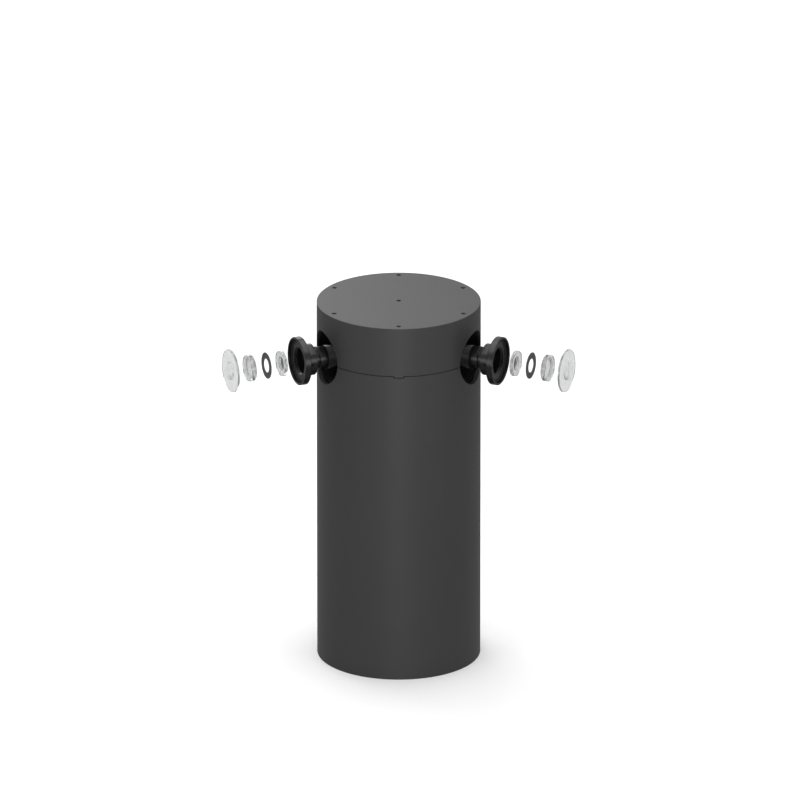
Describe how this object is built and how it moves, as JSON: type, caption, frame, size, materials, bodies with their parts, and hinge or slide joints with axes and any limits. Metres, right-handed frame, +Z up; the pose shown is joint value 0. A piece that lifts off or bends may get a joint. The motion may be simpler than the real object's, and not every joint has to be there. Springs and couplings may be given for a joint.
{
  "type": "bollard post",
  "caption": "Round lit bollard post with a screwed head cap and two side ports, each with a lens barrel and clear optics drawn out along the port's axis.",
  "frame": {"origin": "on the post's axis at the ground, in the plane of the anchor base's underside", "axes": "+Z up along the post; -Y is the front, with the seam's key; the two ports face 67.5 degrees to each side of the front, left towards -X and right towards +X"},
  "size_m": [0.4708, 0.2292, 0.5],
  "materials": {
    "post_paint": "matte fine-texture powder coat, dark grey",
    "galvanised_steel": "dull hot-dip zinc",
    "black_screws": "black oxide",
    "steel_fasteners": "satin stainless",
    "plate_aluminium": "machined, satin",
    "black_anodised": "black anodised, satin",
    "port_black": "flat black",
    "spacer_grey": "dark grey, matte",
    "clear_lens": "polished clear",
    "clear_cover": "polished clear",
    "seal_rubber": "matte black",
    "board_white": "white solder mask",
    "emitter_yellow": "phosphor under clear silicone",
    "driver_case": "moulded, light grey",
    "terminal_plastic": "moulded nylon, off-white",
    "gland_plastic": "moulded nylon, black"
  },
  "bodies": {
    "post": {"post_tube": "post_paint", "anchor_base": "galvanised_steel", "base_grub_screws": "steel_fasteners", "earth_stud": "steel_fasteners", "deck_lugs": "galvanised_steel", "deck_plate": "plate_aluminium", "deck_screws": "steel_fasteners", "pillars": "plate_aluminium", "pillar_foot_screws": "steel_fasteners", "top_carrier": "plate_aluminium", "carrier_screws": "steel_fasteners", "seam_gasket": "seal_rubber", "port_housing_left": "port_black", "port_housing_right": "port_black", "housing_screws": "steel_fasteners", "lamp_core": "plate_aluminium", "led_board_left": "board_white", "led_board_right": "board_white", "led_emitter_left": "emitter_yellow", "led_emitter_right": "emitter_yellow", "board_screws": "steel_fasteners", "led_driver": "driver_case", "driver_screws": "steel_fasteners", "terminal_block": "terminal_plastic", "terminal_screws": "steel_fasteners", "cable_glands": "gland_plastic"},
    "cap": {"head_cap": "post_paint", "cap_screws": "black_screws", "centre_screw": "black_screws"},
    "barrel_left": {"barrel_left": "black_anodised", "set_screw_left": "black_screws", "barrel_seal_left": "seal_rubber", "glass_gasket_left": "seal_rubber"},
    "inner_lens_left": {"inner_lens_left": "clear_lens"},
    "spacer_ring_left": {"spacer_ring_left": "spacer_grey"},
    "outer_lens_left": {"outer_lens_left": "clear_lens"},
    "cover_glass_left": {"cover_glass_left": "clear_cover"},
    "barrel_right": {"barrel_right": "black_anodised", "set_screw_right": "black_screws", "barrel_seal_right": "seal_rubber", "glass_gasket_right": "seal_rubber"},
    "inner_lens_right": {"inner_lens_right": "clear_lens"},
    "spacer_ring_right": {"spacer_ring_right": "spacer_grey"},
    "outer_lens_right": {"outer_lens_right": "clear_lens"},
    "cover_glass_right": {"cover_glass_right": "clear_cover"}
  },
  "joints": [
    {"name": "cap_lift", "type": "slide", "parent": "post", "child": "cap", "axis": [0, 0, 1], "range_m": [0, 0.12]},
    {"name": "barrel_left_slide", "type": "slide", "parent": "post", "child": "barrel_left", "axis": [0.9239, 0.3827, 0], "range_m": [0, 0.044]},
    {"name": "inner_lens_left_slide", "type": "slide", "parent": "post", "child": "inner_lens_left", "axis": [0.9239, 0.3827, 0], "range_m": [0, 0.0805]},
    {"name": "spacer_ring_left_slide", "type": "slide", "parent": "post", "child": "spacer_ring_left", "axis": [0.9239, 0.3827, 0], "range_m": [0, 0.099]},
    {"name": "outer_lens_left_slide", "type": "slide", "parent": "post", "child": "outer_lens_left", "axis": [0.9239, 0.3827, 0], "range_m": [0, 0.1191]},
    {"name": "cover_glass_left_slide", "type": "slide", "parent": "post", "child": "cover_glass_left", "axis": [0.9239, 0.3827, 0], "range_m": [0, 0.14]},
    {"name": "barrel_right_slide", "type": "slide", "parent": "post", "child": "barrel_right", "axis": [-0.9239, 0.3827, 0], "range_m": [0, 0.044]},
    {"name": "inner_lens_right_slide", "type": "slide", "parent": "post", "child": "inner_lens_right", "axis": [-0.9239, 0.3827, 0], "range_m": [0, 0.0805]},
    {"name": "spacer_ring_right_slide", "type": "slide", "parent": "post", "child": "spacer_ring_right", "axis": [-0.9239, 0.3827, 0], "range_m": [0, 0.099]},
    {"name": "outer_lens_right_slide", "type": "slide", "parent": "post", "child": "outer_lens_right", "axis": [-0.9239, 0.3827, 0], "range_m": [0, 0.1191]},
    {"name": "cover_glass_right_slide", "type": "slide", "parent": "post", "child": "cover_glass_right", "axis": [-0.9239, 0.3827, 0], "range_m": [0, 0.14]}
  ],
  "couplings": [
    {"joint": "inner_lens_left_slide", "follows": "barrel_left_slide", "ratio": 1.8295},
    {"joint": "spacer_ring_left_slide", "follows": "barrel_left_slide", "ratio": 2.25},
    {"joint": "outer_lens_left_slide", "follows": "barrel_left_slide", "ratio": 2.7068},
    {"joint": "cover_glass_left_slide", "follows": "barrel_left_slide", "ratio": 3.1818},
    {"joint": "inner_lens_right_slide", "follows": "barrel_right_slide", "ratio": 1.8295},
    {"joint": "spacer_ring_right_slide", "follows": "barrel_right_slide", "ratio": 2.25},
    {"joint": "outer_lens_right_slide", "follows": "barrel_right_slide", "ratio": 2.7068},
    {"joint": "cover_glass_right_slide", "follows": "barrel_right_slide", "ratio": 3.1818}
  ]
}
